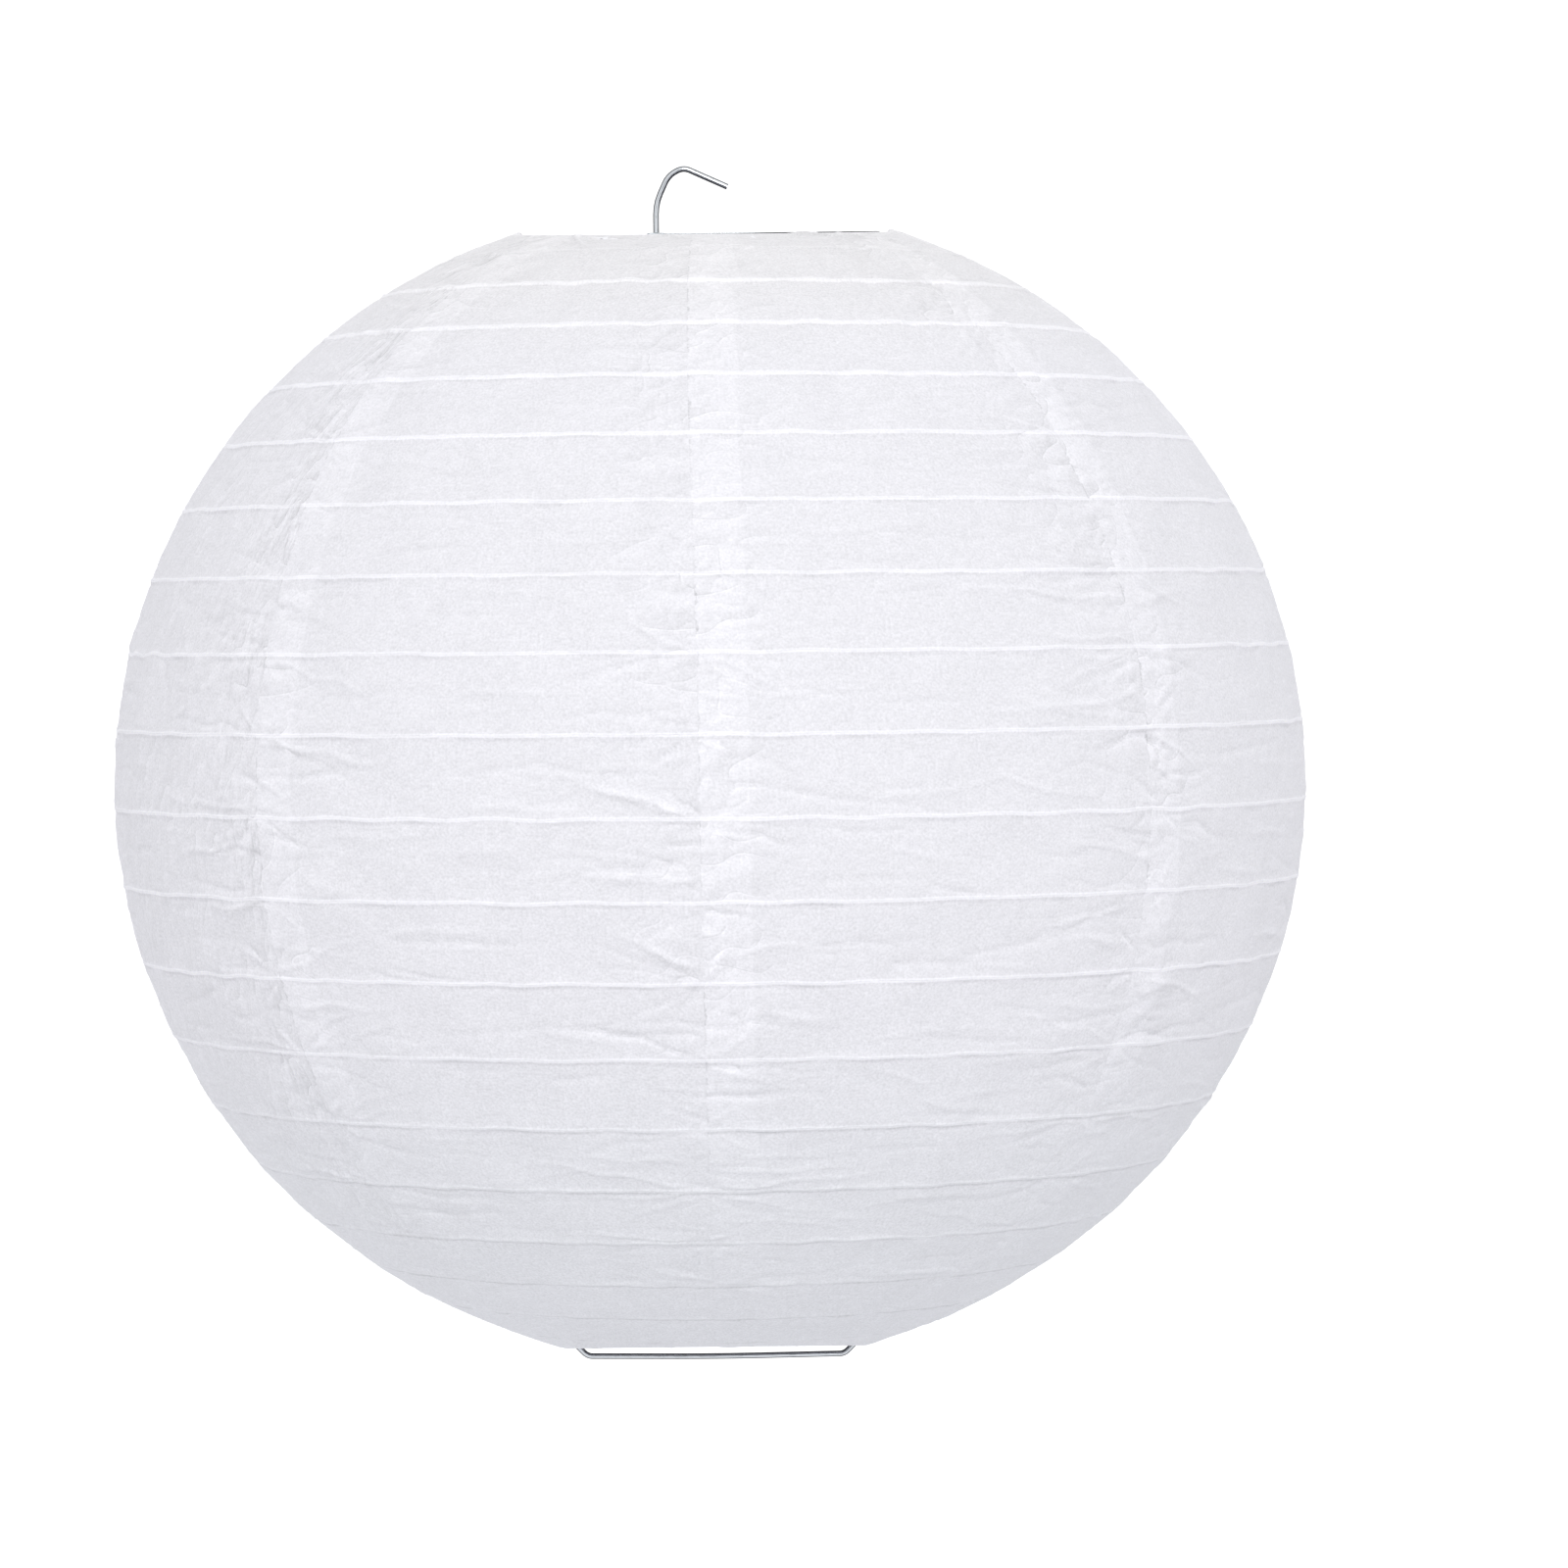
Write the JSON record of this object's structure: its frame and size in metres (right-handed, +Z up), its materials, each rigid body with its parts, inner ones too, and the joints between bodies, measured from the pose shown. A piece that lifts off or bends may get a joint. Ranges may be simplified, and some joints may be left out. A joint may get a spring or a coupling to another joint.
{
  "type": "accordion paper lantern",
  "caption": "Round white paper lantern over wire hoops, held open by a bent wire expander with a hanging hook; it folds flat like an accordion.",
  "frame": {"origin": "centre of the globe, on its axis and at its widest level, where a lamp hangs", "axes": "+Z up along the lantern's axis to the hook; the expander wire lies in the XZ plane; -Y faces the viewer"},
  "size_m": [0.3046, 0.3046, 0.3069],
  "materials": {
    "globe_paper": "matt white rice paper, translucent",
    "hem_paper": "the same paper, folded over and glued",
    "hoop_steel": "thin drawn wire",
    "rim_steel": "drawn wire",
    "expander_steel": "bright plated wire"
  },
  "bodies": {
    "frame": {"expander_wire": "expander_steel", "top_rim_ring": "rim_steel", "top_rim_hem": "hem_paper", "paper_band_01": "globe_paper"},
    "tier_01": {"rib_hoop_01": "hoop_steel", "paper_band_02": "globe_paper"},
    "tier_02": {"rib_hoop_02": "hoop_steel", "paper_band_03": "globe_paper"},
    "tier_03": {"rib_hoop_03": "hoop_steel", "paper_band_04": "globe_paper"},
    "tier_04": {"rib_hoop_04": "hoop_steel", "paper_band_05": "globe_paper"},
    "tier_05": {"rib_hoop_05": "hoop_steel", "paper_band_06": "globe_paper"},
    "tier_06": {"rib_hoop_06": "hoop_steel", "paper_band_07": "globe_paper"},
    "tier_07": {"rib_hoop_07": "hoop_steel", "paper_band_08": "globe_paper"},
    "tier_08": {"rib_hoop_08": "hoop_steel", "paper_band_09": "globe_paper"},
    "tier_09": {"rib_hoop_09": "hoop_steel", "paper_band_10": "globe_paper"},
    "tier_10": {"rib_hoop_10": "hoop_steel", "paper_band_11": "globe_paper"},
    "tier_11": {"rib_hoop_11": "hoop_steel", "paper_band_12": "globe_paper"},
    "tier_12": {"rib_hoop_12": "hoop_steel", "paper_band_13": "globe_paper"},
    "tier_13": {"rib_hoop_13": "hoop_steel", "paper_band_14": "globe_paper"},
    "tier_14": {"rib_hoop_14": "hoop_steel", "paper_band_15": "globe_paper"},
    "tier_15": {"rib_hoop_15": "hoop_steel", "paper_band_16": "globe_paper"},
    "tier_16": {"rib_hoop_16": "hoop_steel", "paper_band_17": "globe_paper"},
    "tier_17": {"rib_hoop_17": "hoop_steel", "paper_band_18": "globe_paper"},
    "tier_18": {"rib_hoop_18": "hoop_steel", "paper_band_19": "globe_paper"},
    "tier_19": {"rib_hoop_19": "hoop_steel", "paper_band_20": "globe_paper"},
    "bottom_rim": {"bottom_rim_ring": "rim_steel", "bottom_rim_hem": "hem_paper"}
  },
  "joints": [
    {"name": "fold", "type": "slide", "parent": "frame", "child": "bottom_rim", "axis": [0, 0, 1], "range_m": [0, 0.26234], "deforming": ["paper_band_20"]},
    {"name": "fold_01", "type": "slide", "parent": "frame", "child": "tier_01", "axis": [0, 0, 1], "range_m": [0, 0.00663], "deforming": ["paper_band_01"]},
    {"name": "fold_02", "type": "slide", "parent": "frame", "child": "tier_02", "axis": [0, 0, 1], "range_m": [0, 0.01496], "deforming": ["paper_band_02"]},
    {"name": "fold_03", "type": "slide", "parent": "frame", "child": "tier_03", "axis": [0, 0, 1], "range_m": [0, 0.02508], "deforming": ["paper_band_03"]},
    {"name": "fold_04", "type": "slide", "parent": "frame", "child": "tier_04", "axis": [0, 0, 1], "range_m": [0, 0.03689], "deforming": ["paper_band_04"]},
    {"name": "fold_05", "type": "slide", "parent": "frame", "child": "tier_05", "axis": [0, 0, 1], "range_m": [0, 0.05028], "deforming": ["paper_band_05"]},
    {"name": "fold_06", "type": "slide", "parent": "frame", "child": "tier_06", "axis": [0, 0, 1], "range_m": [0, 0.0651], "deforming": ["paper_band_06"]},
    {"name": "fold_07", "type": "slide", "parent": "frame", "child": "tier_07", "axis": [0, 0, 1], "range_m": [0, 0.08119], "deforming": ["paper_band_07"]},
    {"name": "fold_08", "type": "slide", "parent": "frame", "child": "tier_08", "axis": [0, 0, 1], "range_m": [0, 0.09831], "deforming": ["paper_band_08"]},
    {"name": "fold_09", "type": "slide", "parent": "frame", "child": "tier_09", "axis": [0, 0, 1], "range_m": [0, 0.11618], "deforming": ["paper_band_09"]},
    {"name": "fold_10", "type": "slide", "parent": "frame", "child": "tier_10", "axis": [0, 0, 1], "range_m": [0, 0.13444], "deforming": ["paper_band_10"]},
    {"name": "fold_11", "type": "slide", "parent": "frame", "child": "tier_11", "axis": [0, 0, 1], "range_m": [0, 0.15271], "deforming": ["paper_band_11"]},
    {"name": "fold_12", "type": "slide", "parent": "frame", "child": "tier_12", "axis": [0, 0, 1], "range_m": [0, 0.17057], "deforming": ["paper_band_12"]},
    {"name": "fold_13", "type": "slide", "parent": "frame", "child": "tier_13", "axis": [0, 0, 1], "range_m": [0, 0.1876], "deforming": ["paper_band_13"]},
    {"name": "fold_14", "type": "slide", "parent": "frame", "child": "tier_14", "axis": [0, 0, 1], "range_m": [0, 0.20346], "deforming": ["paper_band_14"]},
    {"name": "fold_15", "type": "slide", "parent": "frame", "child": "tier_15", "axis": [0, 0, 1], "range_m": [0, 0.21784], "deforming": ["paper_band_15"]},
    {"name": "fold_16", "type": "slide", "parent": "frame", "child": "tier_16", "axis": [0, 0, 1], "range_m": [0, 0.23053], "deforming": ["paper_band_16"]},
    {"name": "fold_17", "type": "slide", "parent": "frame", "child": "tier_17", "axis": [0, 0, 1], "range_m": [0, 0.24138], "deforming": ["paper_band_17"]},
    {"name": "fold_18", "type": "slide", "parent": "frame", "child": "tier_18", "axis": [0, 0, 1], "range_m": [0, 0.25034], "deforming": ["paper_band_18"]},
    {"name": "fold_19", "type": "slide", "parent": "frame", "child": "tier_19", "axis": [0, 0, 1], "range_m": [0, 0.25739], "deforming": ["paper_band_19"]}
  ],
  "couplings": [
    {"joint": "fold_01", "follows": "fold", "ratio": 0.024528},
    {"joint": "fold_02", "follows": "fold", "ratio": 0.056275},
    {"joint": "fold_03", "follows": "fold", "ratio": 0.094854},
    {"joint": "fold_04", "follows": "fold", "ratio": 0.13987},
    {"joint": "fold_05", "follows": "fold", "ratio": 0.1909},
    {"joint": "fold_06", "follows": "fold", "ratio": 0.2474},
    {"joint": "fold_07", "follows": "fold", "ratio": 0.30873},
    {"joint": "fold_08", "follows": "fold", "ratio": 0.37399},
    {"joint": "fold_09", "follows": "fold", "ratio": 0.4421},
    {"joint": "fold_10", "follows": "fold", "ratio": 0.51172},
    {"joint": "fold_11", "follows": "fold", "ratio": 0.58135},
    {"joint": "fold_12", "follows": "fold", "ratio": 0.64941},
    {"joint": "fold_13", "follows": "fold", "ratio": 0.71436},
    {"joint": "fold_14", "follows": "fold", "ratio": 0.77481},
    {"joint": "fold_15", "follows": "fold", "ratio": 0.82962},
    {"joint": "fold_16", "follows": "fold", "ratio": 0.87797},
    {"joint": "fold_17", "follows": "fold", "ratio": 0.91934},
    {"joint": "fold_18", "follows": "fold", "ratio": 0.95348},
    {"joint": "fold_19", "follows": "fold", "ratio": 0.98036}
  ]
}
